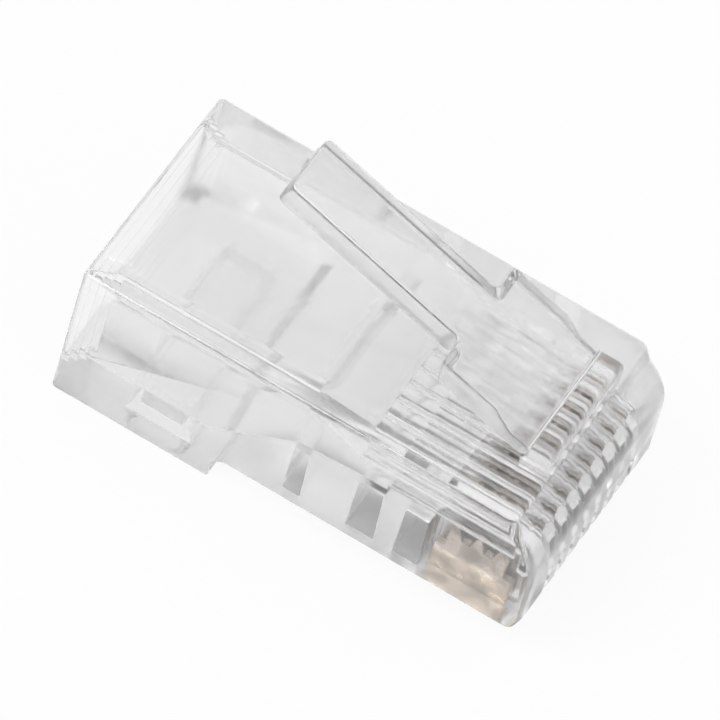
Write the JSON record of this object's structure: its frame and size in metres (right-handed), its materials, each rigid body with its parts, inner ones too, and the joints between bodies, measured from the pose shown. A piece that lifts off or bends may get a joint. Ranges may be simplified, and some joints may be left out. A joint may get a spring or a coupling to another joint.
{
  "type": "rj45 modular plug",
  "caption": "Clear modular data plug, uncrimped: hollow moulded body with cable mouth, wire channels, sprung latch lever and gold blade contacts that drop in.",
  "frame": {"origin": "under the middle of the body, level with the rear block's underside", "axes": "+X along the plug towards its nose, +Y across the contacts, +Z to the latch side"},
  "size_m": [0.0226, 0.0116, 0.0149],
  "materials": {
    "clear_polycarbonate": "clear, polished, faintly grey",
    "gold_plate": "bright gold plate over copper alloy"
  },
  "bodies": {
    "housing": {"housing": "clear_polycarbonate"},
    "latch": {"latch_lever": "clear_polycarbonate"},
    "contact_1": {"contact_1": "gold_plate"},
    "contact_2": {"contact_2": "gold_plate"},
    "contact_3": {"contact_3": "gold_plate"},
    "contact_4": {"contact_4": "gold_plate"},
    "contact_5": {"contact_5": "gold_plate"},
    "contact_6": {"contact_6": "gold_plate"},
    "contact_7": {"contact_7": "gold_plate"},
    "contact_8": {"contact_8": "gold_plate"}
  },
  "joints": [
    {"name": "latch_press", "type": "hinge", "parent": "housing", "child": "latch", "pos_m": [0.0083, 0, 0.00909], "axis": [0, -1, 0], "range_deg": [0, 20], "stiffness_Nm_per_rad": 0.15},
    {"name": "contact_1_crimp", "type": "slide", "parent": "housing", "child": "contact_1", "axis": [0, 0, 1], "range_m": [0, 0.0009]},
    {"name": "contact_2_crimp", "type": "slide", "parent": "housing", "child": "contact_2", "axis": [0, 0, 1], "range_m": [0, 0.0009]},
    {"name": "contact_3_crimp", "type": "slide", "parent": "housing", "child": "contact_3", "axis": [0, 0, 1], "range_m": [0, 0.0009]},
    {"name": "contact_4_crimp", "type": "slide", "parent": "housing", "child": "contact_4", "axis": [0, 0, 1], "range_m": [0, 0.0009]},
    {"name": "contact_5_crimp", "type": "slide", "parent": "housing", "child": "contact_5", "axis": [0, 0, 1], "range_m": [0, 0.0009]},
    {"name": "contact_6_crimp", "type": "slide", "parent": "housing", "child": "contact_6", "axis": [0, 0, 1], "range_m": [0, 0.0009]},
    {"name": "contact_7_crimp", "type": "slide", "parent": "housing", "child": "contact_7", "axis": [0, 0, 1], "range_m": [0, 0.0009]},
    {"name": "contact_8_crimp", "type": "slide", "parent": "housing", "child": "contact_8", "axis": [0, 0, 1], "range_m": [0, 0.0009]}
  ]
}
